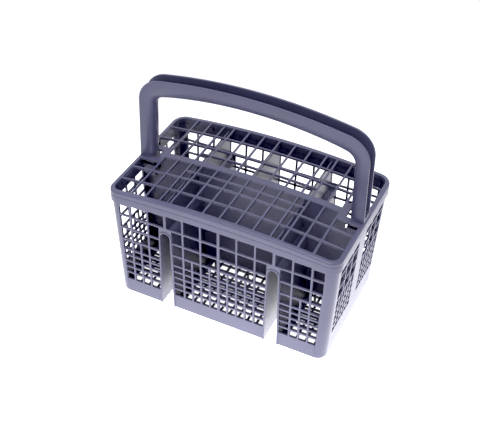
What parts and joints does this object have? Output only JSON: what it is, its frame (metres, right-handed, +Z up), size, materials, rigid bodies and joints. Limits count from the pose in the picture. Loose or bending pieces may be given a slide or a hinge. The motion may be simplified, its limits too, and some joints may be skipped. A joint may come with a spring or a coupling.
{
  "type": "dishwasher cutlery basket",
  "caption": "Tapered mesh basket with an arched grid lid, tine tunnels through the foot and a fixed bail handle, for standing cutlery upright in a dishwasher.",
  "frame": {"origin": "middle of the foot, on the surface the basket stands on", "axes": "+X along the basket, +Y to the back, +Z up"},
  "size_m": [0.24, 0.1474, 0.2295],
  "materials": {
    "basket_body": "satin moulded",
    "lid_grid": "satin moulded",
    "carry_handle": "satin moulded"
  },
  "bodies": {
    "root": {"basket_body": "basket_body", "lid_grid": "lid_grid", "carry_handle": "carry_handle"}
  },
  "joints": []
}
